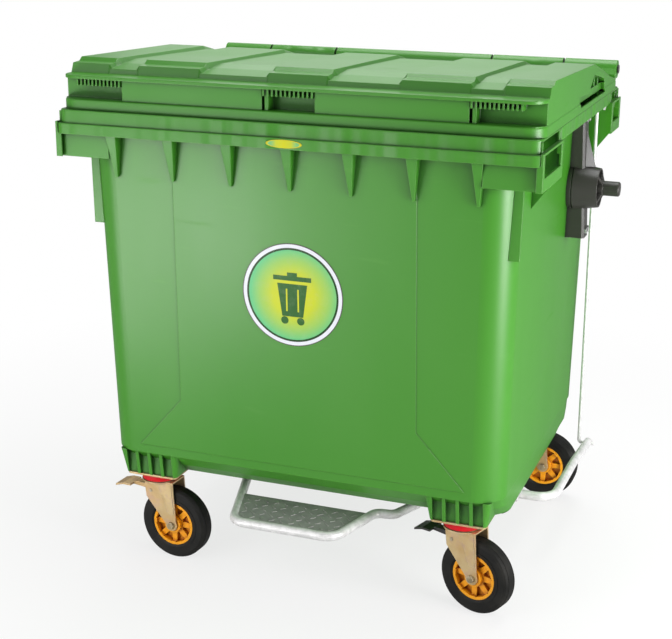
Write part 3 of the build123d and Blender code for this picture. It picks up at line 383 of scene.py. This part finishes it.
# The castors: pressed steel with a yellow chromate over zinc, which clouds from straw to rose and olive.
# Forks, plates and the left brake are plated before they are riveted up, so the colour runs into every
# fold; the right brake has a black moulded pedal.
SPOT_SCALE = 41.0
SPOT_SHARE = 0.7
PITTING_SCALE = 700.0
PITTING_RELIEF = (0.1, 0.0003)
METAL_ROUGHNESS = (0.32, 0.50)
WORN_ZINC = (0.85, 0.84, 0.8, 1)
# The next zinc colour is painted shade for corners, laid on by the occlusion mask.
ZINC_SHADE = (0.08, 0.072, 0.06, 1)
WEAR_AND_SHADE_SHARE = 0.5


def metal_skin_group():
    """Clouded colour, paler worn edges, painted shade in the corners, and gloss of a plated or dipped steel
    surface.
    """
    inputs = [("Colour", "NodeSocketColor", None), ("Second", "NodeSocketColor", None),
              ("Third", "NodeSocketColor", None), ("Cloud Scale", "NodeSocketFloat", 18.0),
              ("Rub", "NodeSocketFloat", 0.0), ("Crevice", "NodeSocketFloat", 0.0)]
    outputs = [("Colour", "NodeSocketColor"), ("Roughness", "NodeSocketFloat"), ("Height", "NodeSocketFloat")]
    group, given, out = new_group("metal_skin", inputs, outputs)
    clouds = surface_noise(group, given.outputs["Cloud Scale"], 3.0)
    spots = surface_noise(group, SPOT_SCALE, 4.0)
    pitting = surface_noise(group, PITTING_SCALE, 2.0)
    cloud = ranged(group, clouds.outputs["Fac"], 0.38, 0.62)
    clouded = blended(group, cloud, given.outputs["Colour"], given.outputs["Second"])
    spot = ranged(group, spots.outputs["Fac"], 0.5, 0.72, 0.0, SPOT_SHARE)
    spotted = blended(group, spot, clouded, given.outputs["Third"])
    worn = blended(group, maths(group, "MULTIPLY", given.outputs["Rub"], WEAR_AND_SHADE_SHARE), spotted, WORN_ZINC)
    # Painted shade: the zinc runs to a near-black where the occlusion mask says little light comes.
    shaded_zinc = blended(group, maths(group, "MULTIPLY", given.outputs["Crevice"], WEAR_AND_SHADE_SHARE), worn, ZINC_SHADE)
    group.links.new(shaded_zinc, out.inputs["Colour"])
    roughness = ranged(group, spots.outputs["Fac"], 0.3, 0.7, *METAL_ROUGHNESS)
    group.links.new(roughness, out.inputs["Roughness"])
    group.links.new(pitting.outputs["Fac"], out.inputs["Height"])
    return group


metal_skin = metal_skin_group()


def plated(name, first, second, third, clouds=18.0, metallic=0.6, edge=0.0012, reach=0.012):
    """Plated steel of three colours that run into each other, paler at worn edges, with painted shade in its
    corners.
    """
    material, tree, shader = bare_material(name)
    rub = use_group(tree, edge_rub, Radius=edge)
    shade_mask = use_group(tree, painted_shade, Reach=reach)
    skin = use_group(tree, metal_skin, Colour=first, Second=second, Third=third, Cloud_Scale=clouds,
                     Rub=rub.outputs["Mask"], Crevice=shade_mask.outputs["Mask"])
    relief = bump(tree, skin.outputs["Height"], rub.outputs["Normal"], *PITTING_RELIEF)
    tree.links.new(skin.outputs["Colour"], shader.inputs["Base Color"])
    tree.links.new(skin.outputs["Roughness"], shader.inputs["Roughness"])
    tree.links.new(relief, shader.inputs["Normal"])
    shader.inputs["Metallic"].default_value = metallic
    return material


yellow_zinc = plated("yellow_zinc", linear(226, 200, 150), linear(214, 178, 124), linear(206, 172, 150))
dress(yellow_zinc, "castor_plates", "brake_lever_front_left", *["castor_fork_" + c for c in CORNERS])
bolt_zinc = plated("bolt_zinc", linear(190, 172, 134), linear(160, 144, 114), linear(208, 198, 176),
                   clouds=60.0)
dress(bolt_zinc, "castor_king_bolts", "castor_plate_bolts", "brake_pin_front_left", "brake_pin_front_right",
      *["castor_axle_" + c for c in CORNERS])
red_seal = plastic("red_seal", linear(204, 2, 20), linear(228, 50, 60), linear(120, 4, 10),
                   edge=0.001, reach=0.006, specular=0.35)
dress(red_seal, "castor_seals")
brake_black = plastic("brake_black", linear(40, 39, 38), linear(96, 94, 90), linear(20, 20, 19), edge=0.0015)
dress(brake_black, "brake_lever_front_right")

# The wheels: orange-yellow moulded rims with pockets round the hub, red-brown where the light doesn't
# reach, and black rubber tyres with a dull bloom, pressed on.
rim_orange = plastic("rim_orange", linear(248, 164, 4), linear(255, 200, 84), linear(150, 66, 4),
                     edge=0.0015, reach=0.016, specular=0.4)
dress(rim_orange, *["wheel_rim_" + c for c in CORNERS])


TYRE_BLACK = linear(20, 20, 18)
TYRE_DUST = linear(56, 54, 49)
TYRE_DUST_SCALE = 22.0
TYRE_DUST_SHARE = 0.35
TYRE_GRAIN_SCALE = 620.0
TYRE_RELIEF = (0.25, 0.0005)
TYRE_ROUGHNESS = (0.5, 0.68)


def rubber():
    """Black tyre rubber, grey with dust in patches."""
    material, tree, shader = bare_material("tyre_rubber")
    dust = surface_noise(tree, TYRE_DUST_SCALE, 5.0)
    grain = surface_noise(tree, TYRE_GRAIN_SCALE, 3.0)
    bloom = ranged(tree, dust.outputs["Fac"], 0.42, 0.75, 0.0, TYRE_DUST_SHARE)
    tree.links.new(blended(tree, bloom, TYRE_BLACK, TYRE_DUST), shader.inputs["Base Color"])
    tree.links.new(ranged(tree, dust.outputs["Fac"], 0.3, 0.7, *TYRE_ROUGHNESS), shader.inputs["Roughness"])
    tree.links.new(bump(tree, grain.outputs["Fac"], None, *TYRE_RELIEF), shader.inputs["Normal"])
    shader.inputs["Specular IOR Level"].default_value = 0.3
    return material


dress(rubber(), *["wheel_tyre_" + c for c in CORNERS])

# The pedal: a hoop of hot-dip galvanised tube on three saddles, with a duller chequered tread plate welded
# in, and a push rod of the same tube up to the lug of the lid.
galvanised = plated("galvanised_tube", linear(240, 238, 239), linear(222, 221, 221), linear(248, 247, 248),
                    clouds=55.0, metallic=0.25)
dress(galvanised, "pedal_lever", "push_rod", "lid_lug", "pedal_saddles")
screw_zinc = plated("screw_zinc", linear(198, 200, 198), linear(170, 173, 172), linear(218, 218, 214),
                    clouds=80.0)
dress(screw_zinc, "trunnion_screws", "pedal_saddle_bolts")
tread_grey = plated("tread_grey", linear(172, 172, 170), linear(158, 158, 157), linear(186, 185, 184),
                    clouds=30.0, metallic=0.1, edge=0.0016)
dress(tread_grey, "pedal_tread")


# The round information plate: printed film on a thin disc stuck to the front. A thin dark edge, a white
# ring, a dark green line, and a field that runs from mint to yellow, with a plain sign of a bin on wheels.
# The sign and the rings are measured in halves of the plate's width, from its middle.
BODY_TAPER = 0.14
BODY_HALF = 0.27
BODY_RISE = (-0.42, 0.22)
GROOVE_SIDE = (0.10, 0.13)
GROOVE_RISE = (-0.32, 0.12)
LID_HALF = 0.38
LID_RISE = (0.28, 0.37)
KNOB_HALF = 0.10
KNOB_RISE = (0.37, 0.44)
WHEEL_SIDE = 0.16
WHEEL_DROP = 0.50
WHEEL_RADIUS = 0.075
DARK_LINE_FROM = 0.875
WHITE_RING_FROM = 0.915
OUTER_EDGE_FROM = 0.985
TINT_LEAN = 0.05


def between(tree, value, low, high):
    """A mask that is one where a value lies between two limits."""
    above = maths(tree, "GREATER_THAN", value, low)
    return maths(tree, "MULTIPLY", above, maths(tree, "LESS_THAN", value, high))


def shifted(tree, value, factor, offset):
    """A value times a factor, plus an offset."""
    return maths(tree, "ADD", maths(tree, "MULTIPLY", value, factor), offset)


def plate_places(tree):
    """Places on a plate, from minus one to one across it and up it, and the distance from its middle."""
    coordinates = tree.nodes.new("ShaderNodeTexCoord")
    parts = tree.nodes.new("ShaderNodeSeparateXYZ")
    tree.links.new(coordinates.outputs["Generated"], parts.inputs[0])
    side = shifted(tree, parts.outputs["X"], 2, -1)
    rise = shifted(tree, parts.outputs["Z"], 2, -1)
    return side, rise, distance_from(tree, side, rise)


def distance_from(tree, side, rise):
    """How far a place is from the middle."""
    squares = maths(tree, "ADD", maths(tree, "MULTIPLY", side, side), maths(tree, "MULTIPLY", rise, rise))
    return maths(tree, "POWER", squares, 0.5)


def bin_sign(tree, side, rise):
    """A mask of the sign: tapering body with two grooves, flat lid with a knob, two wheels."""
    aside = maths(tree, "ABSOLUTE", side)
    body_edge = maths(tree, "SUBTRACT", aside, maths(tree, "MULTIPLY", rise, BODY_TAPER))
    body = maths(tree, "MULTIPLY", between(tree, body_edge, -1, BODY_HALF), between(tree, rise, *BODY_RISE))
    groove = maths(tree, "MULTIPLY", between(tree, aside, *GROOVE_SIDE), between(tree, rise, *GROOVE_RISE))
    lid = maths(tree, "MULTIPLY", between(tree, aside, -1, LID_HALF), between(tree, rise, *LID_RISE))
    knob = maths(tree, "MULTIPLY", between(tree, aside, -1, KNOB_HALF), between(tree, rise, *KNOB_RISE))
    wheel = distance_from(tree, shifted(tree, aside, 1, -WHEEL_SIDE), shifted(tree, rise, 1, WHEEL_DROP))
    sign = maths(tree, "SUBTRACT", body, groove)
    for part in (lid, knob, between(tree, wheel, -1, WHEEL_RADIUS)):
        sign = maths(tree, "MAXIMUM", sign, part)
    return sign


def faded(tree, value, stops):
    """Colours that run into each other along a value."""
    ramp = tree.nodes.new("ShaderNodeValToRGB")
    while len(ramp.color_ramp.elements) < len(stops):
        ramp.color_ramp.elements.new(0.5)
    for element, (place, colour) in zip(ramp.color_ramp.elements, stops):
        element.position = place
        element.color = colour
    tree.links.new(value, ramp.inputs[0])
    return ramp.outputs["Color"]


def printed(name, picture):
    """Glossy printed film with faint dust and orange-peel skin; a function gives its picture."""
    material, tree, shader = bare_material(name)
    dust = surface_noise(tree, 60.0, 4.0)
    haze = ranged(tree, dust.outputs["Fac"], 0.5, 0.8, 0.0, 0.12)
    tree.links.new(blended(tree, haze, picture(tree), linear(180, 186, 168)), shader.inputs["Base Color"])
    tree.links.new(ranged(tree, dust.outputs["Fac"], 0.3, 0.7, 0.28, 0.42), shader.inputs["Roughness"])
    rub = use_group(tree, edge_rub, Radius=0.0005)
    relief = bump(tree, dust.outputs["Fac"], rub.outputs["Normal"], 0.05, 0.0004)
    tree.links.new(relief, shader.inputs["Normal"])
    shader.inputs["Specular IOR Level"].default_value = 0.3
    return material


def round_picture(tree):
    """The picture on the round plate."""
    side, rise, middle = plate_places(tree)
    tint = maths(tree, "SUBTRACT", middle, maths(tree, "MULTIPLY", side, TINT_LEAN))
    field = faded(tree, tint, ((0.0, linear(208, 208, 2)), (0.42, linear(194, 204, 30)),
                               (0.68, linear(150, 196, 88)), (0.88, linear(98, 194, 128))))
    field = blended(tree, bin_sign(tree, side, rise), field, linear(36, 96, 28))
    for start, colour in ((DARK_LINE_FROM, linear(14, 62, 10)), (WHITE_RING_FROM, linear(226, 228, 236)),
                          (OUTER_EDGE_FROM, linear(84, 74, 78))):
        field = blended(tree, maths(tree, "GREATER_THAN", middle, start), field, colour)
    return field


dress(printed("round_plate_print", round_picture), "round_label")


# The small oval plate on the middle of the front rim: the same film, yellow with mint ends, bare of words.
OVAL_EDGE_FROM = 0.88


def oval_picture(tree):
    """The picture on the oval plate."""
    side, rise, middle = plate_places(tree)
    aside = maths(tree, "ABSOLUTE", side)
    field = faded(tree, aside, ((0.0, linear(208, 206, 8)), (0.42, linear(196, 204, 44)),
                                (0.72, linear(120, 192, 120))))
    return blended(tree, maths(tree, "GREATER_THAN", middle, OVAL_EDGE_FROM), field, linear(210, 200, 10))


dress(printed("oval_plate_print", oval_picture), "rim_badge")
